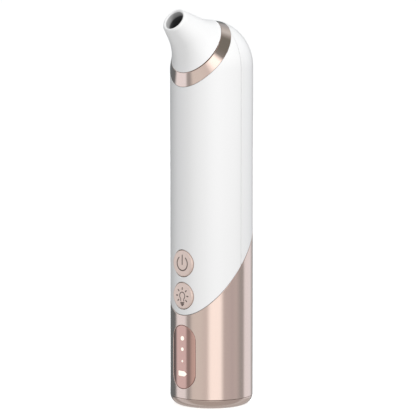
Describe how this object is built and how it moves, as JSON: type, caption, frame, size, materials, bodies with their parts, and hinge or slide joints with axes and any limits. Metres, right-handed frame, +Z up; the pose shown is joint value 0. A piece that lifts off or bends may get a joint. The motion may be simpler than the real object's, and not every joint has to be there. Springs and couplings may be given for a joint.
{
  "type": "blackhead vacuum extractor",
  "caption": "Pen-shaped handheld pore vacuum: white body with a metallised foot, tilted trim ring, flared suction nozzle, round keys and a lit display; opens into its pump, cell and board.",
  "frame": {"origin": "centre of the bottom cap's flat underside, which the device stands on, on the body's axis", "axes": "+Z up along the body, -Y to the front with the buttons and display, +X to the right of someone facing the front"},
  "size_m": [0.04, 0.049, 0.1924],
  "materials": {
    "white_shell": "satin",
    "white_nozzle": "satin",
    "rose_gold": "polished",
    "rose_gold_polished": "polished",
    "button_pink": "satin",
    "smoked_window": "polished",
    "grey_plastic": "matte",
    "black_plastic": "matte",
    "black_rubber": "matte",
    "filter_foam": "matte",
    "clear_silicone": "satin",
    "circuit_board": "satin",
    "lamp_lens": "gloss",
    "plated_steel": "satin",
    "ferrite": "matte",
    "copper_winding": "satin",
    "bronze": "satin",
    "cell_wrap": "satin",
    "red_wire": "satin",
    "black_wire": "satin"
  },
  "bodies": {
    "housing": {"trim_ring": "rose_gold_polished", "nozzle_seat": "grey_plastic", "seal_ring": "black_rubber", "filter_foam": "filter_foam", "light_ring_board": "circuit_board", "head_lamp_1": "lamp_lens", "head_lamp_2": "lamp_lens", "head_lamp_3": "lamp_lens", "front_shell": "white_shell", "rear_shell": "white_shell", "base_sleeve": "rose_gold", "bottom_cap": "rose_gold", "indicator_window": "smoked_window", "suction_hose": "clear_silicone", "motor_can": "plated_steel", "motor_end_cap": "black_plastic", "motor_magnet_left": "ferrite", "motor_magnet_right": "ferrite", "lower_bearing": "bronze", "upper_bearing": "bronze", "vibration_sleeve": "black_rubber", "pump_base": "black_plastic", "diaphragm": "black_rubber", "valve_plate": "grey_plastic", "valve_membrane": "black_rubber", "pump_cover": "black_plastic", "pump_screw_1": "plated_steel", "pump_screw_2": "plated_steel", "pump_screw_3": "plated_steel", "chassis": "grey_plastic", "battery_cell": "cell_wrap", "shell_screw_1": "plated_steel", "shell_screw_2": "plated_steel", "base_screw_1": "plated_steel", "base_screw_2": "plated_steel", "main_board": "circuit_board", "usb_socket": "plated_steel", "indicator_mask": "black_plastic", "indicator_lamp_large": "lamp_lens", "indicator_lamp_medium": "lamp_lens", "indicator_lamp_small": "lamp_lens", "indicator_lamp_battery": "lamp_lens", "power_switch": "black_plastic", "light_switch": "black_plastic", "battery_lead_red": "red_wire", "battery_lead_black": "black_wire", "motor_lead_red": "red_wire", "motor_lead_black": "black_wire"},
    "power_key": {"power_button": "button_pink", "power_switch_plunger": "black_plastic"},
    "light_key": {"light_button": "button_pink", "light_switch_plunger": "black_plastic"},
    "nozzle": {"suction_nozzle": "white_nozzle"},
    "rotor": {"motor_armature": "copper_winding", "motor_shaft": "plated_steel", "crank": "plated_steel"},
    "rocker": {"wobble_plate": "grey_plastic"}
  },
  "joints": [
    {"name": "power_button_press", "type": "slide", "parent": "housing", "child": "power_key", "axis": [0, 1, 0], "range_m": [0, 0.0005], "stiffness_N_per_m": 2000},
    {"name": "light_button_press", "type": "slide", "parent": "housing", "child": "light_key", "axis": [0, 1, 0], "range_m": [0, 0.0005], "stiffness_N_per_m": 2000},
    {"name": "nozzle_pull", "type": "slide", "parent": "housing", "child": "nozzle", "axis": [0, -0.788, 0.6157], "range_m": [0, 0.025]},
    {"name": "motor_spin", "type": "hinge", "parent": "housing", "child": "rotor", "pos_m": [0, 0, 0.1], "axis": [0, 0, 1], "continuous": true},
    {"name": "rocker_wobble", "type": "hinge", "parent": "rotor", "child": "rocker", "pos_m": [0, 0, 0.131], "axis": [0.1045, 0, 0.9945], "continuous": true}
  ],
  "couplings": [
    {"joint": "rocker_wobble", "follows": "motor_spin", "ratio": -1}
  ]
}
